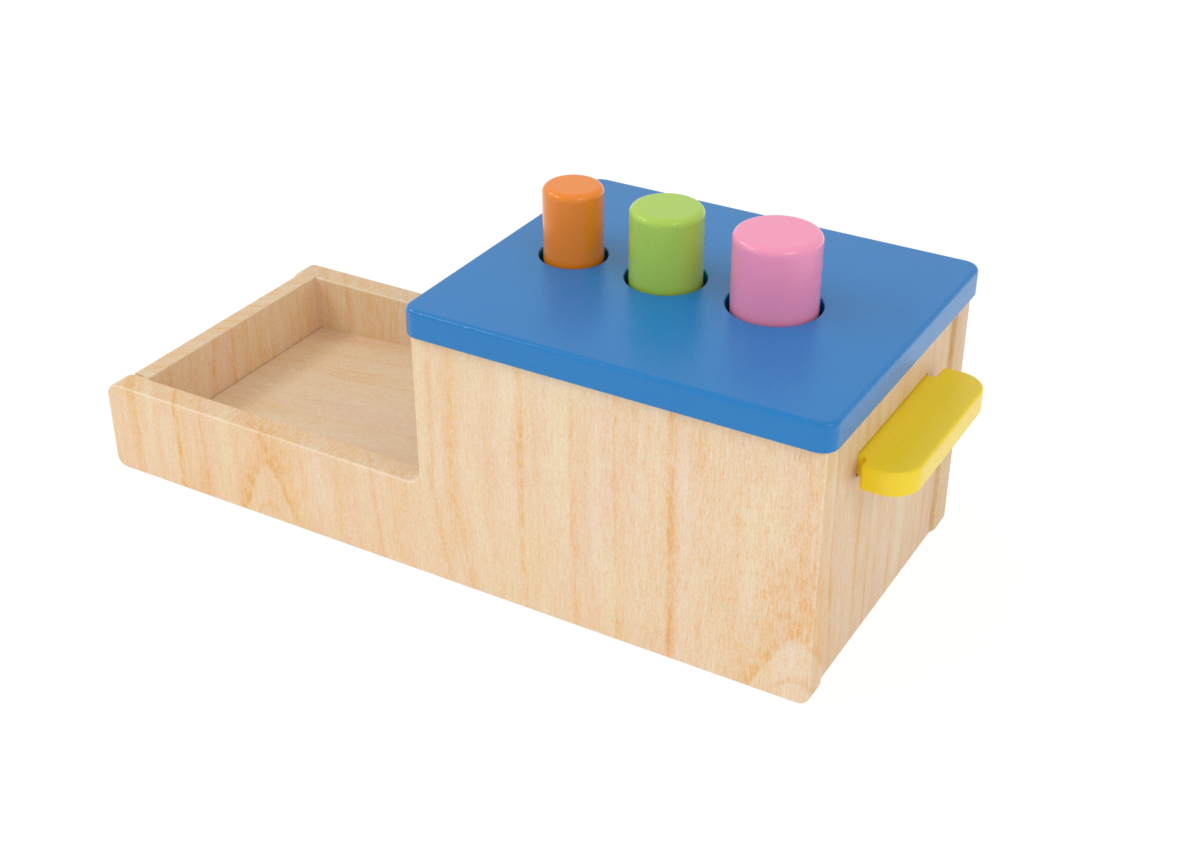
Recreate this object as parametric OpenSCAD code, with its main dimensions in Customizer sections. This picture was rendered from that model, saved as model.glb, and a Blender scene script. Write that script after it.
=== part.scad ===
// Wooden box with a tray and three pegs, for a small child's game of hide and find.
// The pegs stand in holes in the lid, on a shutter that slides out at the handle end.
// With the shutter out they drop on a sloping floor, which leads them into the tray.
// X runs from the tray to the handle, Y from front to back, Z up.
// The origin is on the table, under the middle of the whole object.

/* [Side panels] */
// Thickness of a side panel
panel_t = 12; // [10:0.5:16]
// Width over both side panels
box_w = 146; // [130:1:190]
// Height of the tall part, up to the underside of the lid
box_h = 114; // [106:1:140]
// Height of the tray walls
tray_h = 44; // [38:1:56]
// Length of the low part that makes the tray
tray_len = 173; // [120:1:220]
// Radius of the bottom corners of a side panel
foot_r = 5; // [2:0.5:10]
// Radius of the upper corner at the tray end
tray_corner_r = 7; // [2:0.5:12]
// Radius of the inner corner where the tall part rises from the tray
notch_r = 6.5; // [2:0.5:12]
// Radius of the eased edges of the bare wood
wood_ease = 1.2; // [0.5:0.1:2]

/* [Walls] */
// Thickness of the two end walls and of the chute wall
wall_t = 9; // [8:0.5:12]
// Distance of the tray end wall from the ends of the side panels
tray_end_inset = 6; // [3:0.5:10]
// Distance of the handle end wall from the ends of the side panels
handle_end_inset = 2.6; // [2:0.1:6]
// Distance of the chute wall from the edge of the tall part
chute_inset = 3; // [2:0.5:6]
// Clear height of the mouth under the chute wall
mouth_h = 45; // [38:1:50]
// Radius of the upper edges of the tray end wall
tray_wall_ease = 0.4; // [0.2:0.1:1.2]
// Width of the slit between the tray end wall and the front side panel
slit_w = 0.8; // [0.4:0.1:1.5]
// Depth of that slit, from the outer face of the tray end wall
slit_depth = 5.6; // [2:0.1:7]

/* [Sloping floor] */
// Thickness of the floor board
floor_t = 6; // [4:0.5:8]
// Height of its upper face at the tray end wall
floor_low_z = 14.8; // [10:0.1:20]
// Slope of the floor in degrees
floor_slope = 4.5; // [2:0.1:6]
// Gap between the floor and the tray end wall
floor_gap = 0.5; // [0.2:0.1:1]
// Depth of the groove in a side panel that holds the floor
groove_depth = 4; // [2:0.5:6]

/* [Lid] */
// Thickness of the lid
lid_t = 12; // [9:0.5:16]
// Overhang of the lid on all sides
lid_overhang = 2.7; // [1:0.1:6]
// Radius of the lid's corners, seen from above
lid_corner_r = 7; // [4:0.5:16]
// Radius of the lid's rounded upper edges
lid_ease = 2; // [1:0.1:3]
// Radius of the lid's lower edges
lid_low_ease = 0.4; // [0.2:0.1:1]
// Radius of the rounded rims of the peg holes
rim_ease = 0.8; // [0.4:0.1:1.5]
// Distance from the edge of the tall part to the first hole
first_hole_margin = 17; // [14:0.5:30]
// Distance between one hole and the next
hole_gap = 11.9; // [8:0.1:20]
// Distance from the last hole to the handle end of the side panels
last_hole_margin = 36; // [30:1:50]
// Play between a peg and its hole, on the diameter
hole_play = 3.4; // [2:0.1:4]

/* [Pegs] */
// Diameter of the small peg
small_peg_d = 25; // [20:1:26]
// Diameter of the medium peg
medium_peg_d = 30; // [26:1:31]
// Diameter of the large peg
large_peg_d = 35; // [30:1:36]
// Length of each peg
peg_len = 64; // [50:1:90]
// Radius of a peg's rounded ends
peg_round = 2.8; // [1:0.1:5]

/* [Sliding shutter] */
// Thickness of the shutter board
board_t = 9; // [8:0.5:12]
// Width of the shutter board
board_w = 70.6; // [60:0.1:75]
// Distance from the underside of the lid to the top of the board
shutter_drop = 21.8; // [16:0.1:26]
// Radius of the eased edges of the board
board_ease = 1; // [0.5:0.1:2]
// Width of the grip, across its two ears
grip_w = 87.2; // [85:0.1:100]
// Distance from the middle of the board to the middle of the grip, towards the back
grip_shift = 1.3; // [0:0.1:2]
// Thickness of the grip
grip_t = 10.6; // [9:0.1:16]
// Depth of the grip, from the back of its ears to its outer face
grip_depth = 20.3; // [16:0.1:30]
// Gap between the handle end wall and the ears
grip_gap = 3.4; // [3:0.1:8]
// Radius of the outer corners of the grip, seen from above
grip_corner_r = 12.5; // [8:0.5:16]
// Radius of the inner corners of the ears
ear_r = 2; // [1.6:0.1:2.6]
// Radius of the fillets between the neck and the ears
neck_fillet_r = 2.2; // [1:0.1:2.4]
// Radius of the rounded edges of the grip
grip_ease = 1.2; // [0.6:0.1:1.5]

/* [Shutter guides] */
// Thickness of a guide rail above and below its groove
rail_lip_t = 7; // [5:0.5:9]
// How far a rail reaches under the board's edge
rail_lap = 4; // [3:0.5:8]
// Play of the board in the grooves of the rails
guide_play = 0.4; // [0.3:0.1:0.8]
// Play of the board under and over it, in the slot of the handle end wall
slot_play = 0.8; // [0.5:0.1:1.2]
// Diameter of the stop pins under the board
stop_pin_d = 8; // [5:0.5:10]
// Length of the stop pins
stop_pin_len = 13.5; // [11:0.5:14]
// Depth of a stop pin in the board
stop_pin_seat = 6; // [4:0.5:7]
// Distance between the centres of the two stop pins
stop_pin_pitch = 36; // [20:1:44]

/* [Dowels] */
// Diameter of the hidden dowels
dowel_d = 5; // [4:0.5:6]
// Length of the hidden dowels
dowel_len = 24; // [16:1:30]
// Depth of a dowel in a side panel or in the lid
dowel_seat = 8; // [5:0.5:9]

/* [Hidden] */
$fn = 96;

// Overrun of a cut beyond the face that it opens
cut_over = 1;
// Gap between pieces that move past each other
run_gap = 0.3;
// Play round a dowel and at its ends
dowel_play = 0.05;
dowel_end_play = 0.5;
// How far the open shutter clears the last hole
clear_margin = 1;

// Pegs and their holes, from the smallest to the largest
peg_d = [small_peg_d, medium_peg_d, large_peg_d];
hole_d = [for (d = peg_d) d + hole_play];
first_hole_x = tray_len + first_hole_margin + hole_d[0] / 2;
second_hole_x = first_hole_x + hole_d[0] / 2 + hole_gap + hole_d[1] / 2;
third_hole_x = second_hole_x + hole_d[1] / 2 + hole_gap + hole_d[2] / 2;
hole_x = [first_hole_x, second_hole_x, third_hole_x];
last_hole_edge_x = third_hole_x + hole_d[2] / 2;

// Length of a side panel, which the tray and the row of holes fill
panel_len = last_hole_edge_x + last_hole_margin;
// Width between the side panels
inner_w = box_w - 2 * panel_t;
// Faces along the length, counted from the tray end of the side panels
tray_end_x = tray_end_inset;
tray_inside_x = tray_end_x + wall_t;
chute_x = tray_len + chute_inset;
chute_inside_x = chute_x + wall_t;
handle_end_x = panel_len - handle_end_inset;
handle_inside_x = handle_end_x - wall_t;
ear_x = handle_end_x + grip_gap;
grip_x = ear_x + grip_depth;
// The origin is under the middle of the whole length
origin_x = -grip_x / 2;

// Slope of the floor, and the height of its upper face at a place along the length
floor_rise = tan(floor_slope);
function floor_z(x) = floor_low_z + (x - tray_inside_x) * floor_rise;
floor_plumb_t = floor_t / cos(floor_slope);

// Heights of the shutter and of the pieces round it
board_top_z = box_h - shutter_drop;
board_z = board_top_z - board_t;
grip_z = board_top_z - grip_t;
slot_z = board_z - slot_play;
slot_h = board_t + 2 * slot_play;
chute_z = floor_z(chute_inside_x) + mouth_h;
rail_z = board_z - guide_play - rail_lip_t;
rail_h = board_t + 2 * guide_play + 2 * rail_lip_t;
rail_len = handle_inside_x - chute_inside_x;
rail_w = (inner_w - board_w) / 2 + rail_lap;

// Pegs stand on the shutter
peg_z = board_top_z + run_gap;

// Shutter: its inner end, its travel and the stop pins that end it
board_x = chute_inside_x + run_gap;
shutter_travel = last_hole_edge_x + clear_margin - board_x;
stop_pin_x = handle_inside_x - shutter_travel - run_gap - stop_pin_d / 2;
neck_x = ear_x - neck_fillet_r - run_gap;

// Places of the dowels, as shares of the height or length that they divide
tray_dowel_shares = [0.27, 0.73];
handle_dowel_shares = [0.15, 0.5, 0.9];
chute_dowel_shares = [0.25, 0.75];
rail_dowel_shares = [0.2, 0.8];
lid_dowel_shares = [0.15, 0.5, 0.85];

wood_color = "burlywood";
dowel_color = "tan";
lid_color = "royalblue";
shutter_color = "gold";

// Vectors in the plane
function unit(v) = v / norm(v);
function turn(a, b) = a[0] * b[1] - a[1] * b[0];
function left_of(d) = [-d[1], d[0]];

// Lays what stands along the length on the origin of the whole object
module placed() {
    translate([origin_x, 0, 0]) children();
}

// Section through the outer edge of a plate, with both of its corners rounded.
// The lower corner's radius is a share of the upper one's.
module eased_edge(thick, ease, low_share) {
    low_ease = low_share * ease;
    difference() {
        square([ease, thick]);
        difference() {
            square([low_ease, low_ease]);
            translate([low_ease, low_ease]) circle(low_ease);
        }
        translate([0, thick - ease]) difference() {
            square([ease, ease]);
            translate([ease, 0]) circle(ease);
        }
    }
}

// Half of the section through a round piece whose ends are rounded
module eased_disc_half(radius, thick, ease, low_share = 1) {
    if (radius > ease) square([radius - ease, thick]);
    translate([radius, 0]) mirror([1, 0]) eased_edge(thick, ease, low_share);
}

// Plate with square corners in its run, each rounded by its own radius, and eased edges.
// A corner is [x, y, radius, ease of the edge that leaves it], and they run to the left.
module eased_plate(corners, thick, low_share = 1) {
    n = len(corners);
    last = n - 1;
    function before(i) = (i + last) % n;
    function after(i) = (i + 1) % n;
    function at(i) = [corners[i][0], corners[i][1]];
    function radius(i) = corners[i][2];
    function ease(i) = corners[i][3];
    function way_in(i) = unit(at(i) - at(before(i)));
    function way_out(i) = unit(at(after(i)) - at(i));
    function arc_start(i) = at(i) - radius(i) * way_in(i);
    function arc_end(i) = at(i) + radius(i) * way_out(i);
    function arc_mid(i) = arc_start(i) + radius(i) * way_out(i);
    function inset_in(i) = ease(before(i)) * left_of(way_in(i));
    function inset_out(i) = ease(i) * left_of(way_out(i));
    function turns_left(i) = turn(way_in(i), way_out(i)) > 0;
    core = [for (i = [0 : last]) each radius(i) > 0
        ? [arc_start(i) + inset_in(i), arc_mid(i), arc_end(i) + inset_out(i)]
        : [at(i) + inset_in(i) + inset_out(i)]];
    // The middle of the plate
    linear_extrude(thick) difference() {
        polygon(core);
        for (i = [0 : last]) if (radius(i) > 0 && !turns_left(i))
            translate(arc_mid(i)) circle(radius(i) + ease(i));
    }
    // The straight edges
    for (i = [0 : last]) if (ease(i) > 0) {
        way = way_out(i);
        run = norm(arc_start(after(i)) - arc_end(i));
        translate(concat(arc_end(i), 0))
            rotate([0, 0, atan2(way[1], way[0])])
                rotate([90, 0, 90])
                    linear_extrude(run) eased_edge(thick, ease(i), low_share);
    }
    // The rounded corners
    for (i = [0 : last]) if (radius(i) > 0) {
        out = arc_start(i) - arc_mid(i);
        start = atan2(out[1], out[0]);
        translate(concat(arc_mid(i), 0))
            if (turns_left(i))
                rotate([0, 0, start])
                    rotate_extrude(angle = 90)
                        eased_disc_half(radius(i), thick, ease(i), low_share);
            else
                rotate([0, 0, start - 90])
                    rotate_extrude(angle = 90)
                        translate([radius(i), 0]) eased_edge(thick, ease(i), low_share);
    }
}

// Upright plate across the box, with eased lower and upper edges where asked
module cross_wall(face_x, low_z, high_z, low_ease, high_ease) {
    half_w = inner_w / 2;
    translate([face_x, 0, 0]) rotate([90, 0, 90]) eased_plate([
        [-half_w, low_z, 0, low_ease],
        [half_w, low_z, 0, 0],
        [half_w, high_z, 0, high_ease],
        [-half_w, high_z, 0, 0]
    ], wall_t);
}

// Dowels that cross the inner faces of both side panels at one place, play wider for holes
module cross_dowels(x, z, play, end_play) {
    for (side = [-1, 1])
        translate([x, side * (inner_w / 2 + dowel_seat - dowel_len / 2), z])
            rotate([90, 0, 0])
                cylinder(h = dowel_len + 2 * end_play, d = dowel_d + 2 * play, center = true);
}

module tray_end_dowel_set(play = 0, end_play = 0) {
    for (share = tray_dowel_shares)
        cross_dowels(tray_end_x + wall_t / 2, share * tray_h, play, end_play);
}

module handle_end_dowel_set(play = 0, end_play = 0) {
    for (share = handle_dowel_shares)
        cross_dowels(handle_end_x - wall_t / 2, share * box_h, play, end_play);
}

module chute_wall_dowel_set(play = 0, end_play = 0) {
    for (share = chute_dowel_shares)
        cross_dowels(chute_x + wall_t / 2, chute_z + share * (box_h - chute_z), play, end_play);
}

module rail_dowel_set(play = 0, end_play = 0) {
    for (share = rail_dowel_shares)
        cross_dowels(chute_inside_x + share * rail_len, rail_z + rail_h / 2, play, end_play);
}

// Dowels between the lid and the upper edges of the side panels
module lid_dowel_set(play = 0, end_play = 0) {
    for (share = lid_dowel_shares, side = [-1, 1])
        translate([
            tray_len + share * (panel_len - tray_len),
            side * (box_w - panel_t) / 2,
            box_h + dowel_seat - dowel_len / 2
        ])
            cylinder(h = dowel_len + 2 * end_play, d = dowel_d + 2 * play, center = true);
}

// Sloping board with plumb ends, as wide as asked, from a place along the length
module floor_board(low_x, width) {
    translate([0, width / 2, 0]) rotate([90, 0, 0]) linear_extrude(width) polygon([
        [low_x, floor_z(low_x) - floor_plumb_t],
        [handle_inside_x, floor_z(handle_inside_x) - floor_plumb_t],
        [handle_inside_x, floor_z(handle_inside_x)],
        [low_x, floor_z(low_x)]
    ]);
}

// One side panel, on the front side
module side_panel() {
    difference() {
        union() {
            translate([0, -inner_w / 2, 0]) rotate([90, 0, 0]) eased_plate([
                [0, 0, foot_r, wood_ease],
                [panel_len, 0, foot_r, wood_ease],
                [panel_len, box_h, 0, 0],
                [tray_len, box_h, 0, wood_ease],
                [tray_len, tray_h, notch_r, wood_ease],
                [0, tray_h, tray_corner_r, wood_ease]
            ], panel_t);
            // The inner edge stays square where the tray end wall meets it
            translate([max(tray_end_x, tray_corner_r), -inner_w / 2 - wood_ease, tray_h - wood_ease])
                cube([tray_inside_x - max(tray_end_x, tray_corner_r), wood_ease, wood_ease]);
        }
        floor_board(tray_inside_x, inner_w + 2 * groove_depth);
        tray_end_dowel_set(dowel_play, dowel_end_play);
        handle_end_dowel_set(dowel_play, dowel_end_play);
        chute_wall_dowel_set(dowel_play, dowel_end_play);
        rail_dowel_set(dowel_play, dowel_end_play);
        lid_dowel_set(dowel_play, dowel_end_play);
    }
}

module front_side_panel() {
    color(wood_color) placed() side_panel();
}

module back_side_panel() {
    color(wood_color) placed() mirror([0, 1, 0]) side_panel();
}

// End of the tray, with a slit beside the front side panel
module tray_end_wall() {
    color(wood_color) placed() difference() {
        cross_wall(tray_end_x, 0, tray_h, wood_ease, tray_wall_ease);
        translate([tray_end_x - cut_over, -inner_w / 2 - cut_over, -cut_over])
            cube([slit_depth + cut_over, slit_w + cut_over, tray_h + 2 * cut_over]);
        tray_end_dowel_set(dowel_play, dowel_end_play);
    }
}

// End of the box, with the slot that the shutter slides through
module handle_end_wall() {
    slot_w = board_w + 2 * guide_play;
    color(wood_color) placed() difference() {
        cross_wall(handle_inside_x, 0, box_h, wood_ease, 0);
        translate([handle_inside_x - cut_over, -slot_w / 2, slot_z])
            cube([wall_t + 2 * cut_over, slot_w, slot_h]);
        handle_end_dowel_set(dowel_play, dowel_end_play);
    }
}

// Wall between the box and the tray, over the mouth that the pegs roll out of
module chute_wall() {
    color(wood_color) placed() difference() {
        cross_wall(chute_x, chute_z, box_h, wood_ease, 0);
        chute_wall_dowel_set(dowel_play, dowel_end_play);
    }
}

module sloping_floor() {
    color(wood_color) placed() floor_board(tray_inside_x + floor_gap, inner_w + 2 * groove_depth);
}

// Hole for a peg, with both of its rims rounded
module peg_hole(diameter) {
    translate([0, 0, -cut_over]) cylinder(h = lid_t + 2 * cut_over, d = diameter);
    for (low = [0, 1])
        translate([0, 0, low * lid_t]) mirror([0, 0, 1 - low]) translate([0, 0, -rim_ease])
            rotate_extrude() difference() {
                square([diameter / 2 + rim_ease, rim_ease + cut_over]);
                translate([diameter / 2 + rim_ease, 0]) circle(rim_ease);
            }
}

module lid() {
    low_x = tray_len - lid_overhang;
    high_x = panel_len + lid_overhang;
    half_w = box_w / 2 + lid_overhang;
    color(lid_color) placed() difference() {
        translate([0, 0, box_h]) eased_plate([
            [low_x, -half_w, lid_corner_r, lid_ease],
            [high_x, -half_w, lid_corner_r, lid_ease],
            [high_x, half_w, lid_corner_r, lid_ease],
            [low_x, half_w, lid_corner_r, lid_ease]
        ], lid_t, lid_low_ease / lid_ease);
        for (i = [0 : len(hole_x) - 1])
            translate([hole_x[i], 0, box_h]) peg_hole(hole_d[i]);
        lid_dowel_set(dowel_play, dowel_end_play);
    }
}

// Grooved batten along a side panel that carries one edge of the shutter
module guide_rail() {
    half_w = inner_w / 2;
    groove_w = rail_lap + guide_play;
    difference() {
        translate([chute_inside_x, -half_w, rail_z]) cube([rail_len, rail_w, rail_h]);
        translate([chute_inside_x - cut_over, rail_w - half_w - groove_w, rail_z + rail_lip_t])
            cube([rail_len + 2 * cut_over, groove_w + cut_over, board_t + 2 * guide_play]);
        rail_dowel_set(dowel_play, dowel_end_play);
    }
}

module front_guide_rail() {
    color(wood_color) placed() guide_rail();
}

module back_guide_rail() {
    color(wood_color) placed() mirror([0, 1, 0]) guide_rail();
}

// The two stop pins, play wider for their seats
module stop_pin_set(play = 0, end_play = 0) {
    for (side = [-1, 1])
        translate([stop_pin_x, side * stop_pin_pitch / 2, board_z + stop_pin_seat - stop_pin_len])
            cylinder(h = stop_pin_len + end_play, d = stop_pin_d + 2 * play);
}

// Board that carries the pegs, and the grip that it ends in outside the box
module sliding_shutter() {
    half_board = board_w / 2;
    front_y = grip_shift - grip_w / 2;
    back_y = grip_shift + grip_w / 2;
    color(shutter_color) placed() difference() {
        union() {
            translate([0, 0, board_z]) eased_plate([
                [board_x, -half_board, 0, board_ease],
                [neck_x, -half_board, 0, 0],
                [neck_x, half_board, 0, board_ease],
                [board_x, half_board, 0, 0]
            ], board_t);
            translate([0, 0, grip_z]) eased_plate([
                [neck_x, -half_board, 0, grip_ease],
                [ear_x, -half_board, neck_fillet_r, grip_ease],
                [ear_x, front_y, ear_r, grip_ease],
                [grip_x, front_y, grip_corner_r, grip_ease],
                [grip_x, back_y, grip_corner_r, grip_ease],
                [ear_x, back_y, ear_r, grip_ease],
                [ear_x, half_board, neck_fillet_r, grip_ease],
                [neck_x, half_board, 0, 0]
            ], grip_t);
        }
        stop_pin_set(dowel_play, dowel_end_play);
    }
}

module stop_pins() {
    color(dowel_color) placed() stop_pin_set();
}

// Round peg with rounded ends, standing on the shutter in its own hole
module peg(i) {
    translate([hole_x[i], 0, peg_z])
        rotate_extrude() eased_disc_half(peg_d[i] / 2, peg_len, peg_round);
}

module small_peg() {
    color("darkorange") placed() peg(0);
}

module medium_peg() {
    color("yellowgreen") placed() peg(1);
}

module large_peg() {
    color("hotpink") placed() peg(2);
}

module tray_end_dowels() {
    color(dowel_color) placed() tray_end_dowel_set();
}

module handle_end_dowels() {
    color(dowel_color) placed() handle_end_dowel_set();
}

module chute_wall_dowels() {
    color(dowel_color) placed() chute_wall_dowel_set();
}

module rail_dowels() {
    color(dowel_color) placed() rail_dowel_set();
}

module lid_dowels() {
    color(dowel_color) placed() lid_dowel_set();
}

front_side_panel();
back_side_panel();
tray_end_wall();
handle_end_wall();
chute_wall();
sloping_floor();
lid();
front_guide_rail();
back_guide_rail();
sliding_shutter();
stop_pins();
small_peg();
medium_peg();
large_peg();
tray_end_dowels();
handle_end_dowels();
chute_wall_dowels();
rail_dowels();
lid_dowels();
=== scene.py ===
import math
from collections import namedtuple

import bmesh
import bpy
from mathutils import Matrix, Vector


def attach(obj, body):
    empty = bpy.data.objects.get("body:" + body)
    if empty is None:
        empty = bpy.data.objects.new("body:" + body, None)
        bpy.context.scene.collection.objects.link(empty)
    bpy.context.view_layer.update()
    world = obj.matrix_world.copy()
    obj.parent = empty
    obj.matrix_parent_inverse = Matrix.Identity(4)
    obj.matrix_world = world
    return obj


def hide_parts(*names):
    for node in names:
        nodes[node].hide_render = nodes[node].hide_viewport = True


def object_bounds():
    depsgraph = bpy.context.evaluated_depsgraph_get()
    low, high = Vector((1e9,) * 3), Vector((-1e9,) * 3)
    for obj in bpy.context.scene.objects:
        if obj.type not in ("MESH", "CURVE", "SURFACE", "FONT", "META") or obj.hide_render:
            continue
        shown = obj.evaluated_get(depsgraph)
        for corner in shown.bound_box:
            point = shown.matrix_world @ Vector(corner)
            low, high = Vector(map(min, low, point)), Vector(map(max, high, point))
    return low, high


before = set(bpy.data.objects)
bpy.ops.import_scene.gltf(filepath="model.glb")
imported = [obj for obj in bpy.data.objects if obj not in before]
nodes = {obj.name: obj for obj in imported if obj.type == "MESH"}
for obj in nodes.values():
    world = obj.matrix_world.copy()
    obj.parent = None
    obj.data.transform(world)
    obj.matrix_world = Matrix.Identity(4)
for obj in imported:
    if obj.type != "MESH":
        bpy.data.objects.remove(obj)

# %% [markdown]
# # A wooden peg box in Blender
#
# The box comes in as a finished CAD model: bare wooden walls, a blue lid with three holes,
# three painted pegs and a yellow shutter that slides out at one end. Its shapes are right
# already, so this lesson is about light and surfaces. It starts with what every later step
# needs: the size of the model, and the names of its nodes.

MM = 0.001
cad_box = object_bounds()
size = [round((high - low) / MM, 1) for low, high in zip(*cad_box)]
print("box of the whole object, mm:", size)
print("nodes:", ", ".join(sorted(nodes)))

# %% [markdown]
# ## The camera
#
# The picture was taken from the front right, 30 degrees round and 31 degrees up. Blender's
# camera looks down its own -Z, so it is tipped up from there by a right angle less the
# elevation, and then turned by the azimuth. The lens is given for a sensor 36 mm wide.

# %% Place the camera
CAMERA_PLACE = (0.35627, -0.56309, 0.43373)
CAMERA_AZIMUTH = 30.005
CAMERA_ELEVATION = 30.629
CAMERA_LENS = 52.81
CAMERA_SENSOR = 36
CAMERA_SEES_TO = 20

camera_data = bpy.data.cameras.new("picture_camera")
camera_data.sensor_width = CAMERA_SENSOR
camera_data.lens = CAMERA_LENS
camera_data.clip_end = CAMERA_SEES_TO
camera = bpy.data.objects.new("picture_camera", camera_data)
camera.location = CAMERA_PLACE
camera.rotation_euler = (
    math.radians(90 - CAMERA_ELEVATION),
    0,
    math.radians(CAMERA_AZIMUTH),
)
bpy.context.collection.objects.link(camera)
bpy.context.scene.camera = camera
bpy.context.scene.view_settings.view_transform = "Standard"
print("camera at", [round(c, 3) for c in camera.location])

# %% [markdown]
# ## Two small helpers
#
# Every material below is a tree of shader nodes. One function adds a node, sets its
# settings and fills its inputs, either with a value or with another node's output. Colours
# are written as the hex values that a paint program shows, and a second function turns them
# into the linear values that a renderer adds and multiplies.

# %% Helpers for nodes and colours
def add(tree, kind, inputs=(), **settings):
    """Adds a node. Its inputs are given in their order, or by name or number in a dict."""
    node = tree.nodes.new(kind)
    for name, value in settings.items():
        setattr(node, name, value)
    for key, value in inputs.items() if isinstance(inputs, dict) else enumerate(inputs):
        if isinstance(value, bpy.types.NodeSocket):
            tree.links.new(value, node.inputs[key])
        else:
            node.inputs[key].default_value = value
    return node


def linear(hex_colour):
    channels = [int(hex_colour[i : i + 2], 16) / 255 for i in (1, 3, 5)]
    return [c / 12.92 if c <= 0.04045 else ((c + 0.055) / 1.055) ** 2.4 for c in channels] + [1]


def grey(value):
    return (value, value, value, 1)


def new_material(name):
    material = bpy.data.materials.new(name)
    material.use_nodes = True
    material.node_tree.nodes.clear()
    return material


def set_ramp(node, stops):
    """Gives a Color Ramp its stops, each a position and a linear colour."""
    elements = node.color_ramp.elements
    while len(elements) < len(stops):
        elements.new(0.5)
    for element, (position, colour) in zip(elements, sorted(stops)):
        element.position = position
        element.color = colour


print("a mid grey of #808080 is", round(linear("#808080")[0], 3), "in linear light")

# %% [markdown]
# ## White sky
#
# The picture has a pure white ground, and soft light from all sides. A white sky gives
# most of that light. The camera sees it as white, while the light that it sheds and its
# mirror image in the paint are set by themselves: both are dimmer, so that the two
# softboxes stand out in the image, as on glossy paint in a real studio.

# %% Sky
SKY_LIGHT = 0.755
SKY_IN_PAINT = 0.78

world = bpy.data.worlds.new("white_sky")
bpy.context.scene.world = world
world.use_nodes = True
sky = world.node_tree
sky.nodes.clear()
ray = add(sky, "ShaderNodeLightPath").outputs
strength = SKY_LIGHT
for kind, level in (("Is Camera Ray", 1.0), ("Is Glossy Ray", SKY_IN_PAINT)):
    strength = add(
        sky, "ShaderNodeMath", [ray[kind], level - SKY_LIGHT, strength], operation="MULTIPLY_ADD"
    ).outputs[0]
white = add(sky, "ShaderNodeBackground", {"Color": grey(1), "Strength": strength})
add(sky, "ShaderNodeOutputWorld", {"Surface": white.outputs[0]})
print("the sky sheds", SKY_LIGHT, "and mirrors as", SKY_IN_PAINT)

# %% [markdown]
# ## Paper floor
#
# The floor is a pale sheet of paper. Part of what the camera sees of it is light of its
# own, which takes it up to white, and the rest is lit, so that the box still leaves its
# shadow there. The light that it throws back on the box is set by itself: that of pale
# paper, and a little of its own to fill the shadows.

# %% Floor
FLOOR_SIZE = 12
PAPER_TONE, PAPER_FILL = 0.9, 0.15
PAPER_GLOW, GLOW_SHADOW = 0.87, 0.2

floor_paper = new_material("white_paper_sweep")
paper = floor_paper.node_tree
ray = add(paper, "ShaderNodeLightPath").outputs
seen = add(paper, "ShaderNodeMath", [ray["Is Camera Ray"], ray["Is Glossy Ray"]], operation="MAXIMUM")
sides = []
for tone, light in ((PAPER_TONE, PAPER_FILL), (GLOW_SHADOW, PAPER_GLOW)):
    lit = add(paper, "ShaderNodeBsdfDiffuse", {"Color": grey(tone), "Roughness": 1.0})
    own = add(paper, "ShaderNodeEmission", {"Color": grey(1), "Strength": light})
    sides.append(add(paper, "ShaderNodeAddShader", [lit.outputs[0], own.outputs[0]]).outputs[0])
sheet = add(paper, "ShaderNodeMixShader", [seen.outputs[0], *sides])
add(paper, "ShaderNodeOutputMaterial", {"Surface": sheet.outputs[0]})

half = FLOOR_SIZE / 2
corners = [(-half, -half, 0), (half, -half, 0), (half, half, 0), (-half, half, 0)]
floor_mesh = bpy.data.meshes.new("paper_floor")
floor_mesh.from_pydata(corners, [], [(0, 1, 2, 3)])
floor_mesh.materials.append(floor_paper)
floor = bpy.data.objects.new("paper_floor", floor_mesh)
bpy.context.collection.objects.link(floor)
print("the floor is", FLOOR_SIZE, "metres wide")

# %% [markdown]
# ## Two softboxes
#
# A softbox is a lamp behind a wide cloth. Its mirror image is what shows that paint is
# glossy: a bright line on the rim of each peg and on the edges of the lid. Both stand
# nearly 40 degrees above the table and well to the sides. From this camera that image falls
# on rims and rounded edges, and not on the flat tops.

# %% Softboxes, by the direction that each stands in, its width, height and power
SOFTBOXES = {
    "softbox_left": ((-0.72, -0.30, 0.62), 1.10, 0.16, 3.5),
    "softbox_right": ((0.70, -0.34, 0.62), 0.60, 0.15, 1.8),
}
SOFTBOX_DISTANCE = 1.25
SOFTBOX_AIM = Vector((0.05, 0, 0.13))

for name, (direction, width, height, power) in SOFTBOXES.items():
    lamp = bpy.data.lights.new(name, "AREA")
    lamp.shape = "RECTANGLE"
    lamp.size = width
    lamp.size_y = height
    lamp.energy = power
    softbox = bpy.data.objects.new(name, lamp)
    towards = Vector(direction).normalized()
    softbox.location = towards * SOFTBOX_DISTANCE + SOFTBOX_AIM
    softbox.rotation_euler = towards.to_track_quat("Z", "Y").to_euler()
    bpy.context.collection.objects.link(softbox)
    print(name, "stands at", [round(c, 2) for c in softbox.location])

# %% [markdown]
# ## Where the grain runs
#
# Each wall is sawn from a plank, and its grain runs the long way of that plank. A pattern
# that is to look like wood has to know three directions on the wall: across the plank,
# through its thickness, and along the grain. The Mapping node turns the object's own
# coordinates into those three, and counts them in millimetres, so that every size in the
# wood material below can be written as a real one. Noise is then stretched along them.

# %% Plank coordinates in millimetres
X, Y, Z = (1, 0, 0), (0, 1, 0), (0, 0, 1)
SEED_STEP = (3.7, 5.3, 7.9)


def plank_space(tree, directions, start):
    """Vector of millimetres across, through and along a plank, counted from a corner in metres."""
    turned = Matrix(directions)
    offset = turned @ Vector(start) / MM
    coordinates = add(tree, "ShaderNodeTexCoord")
    return add(
        tree,
        "ShaderNodeMapping",
        {
            "Vector": coordinates.outputs["Object"],
            "Rotation": turned.to_euler(),
            "Scale": (1 / MM, 1 / MM, 1 / MM),
            "Location": -offset,
        },
    ).outputs[0]


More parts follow.
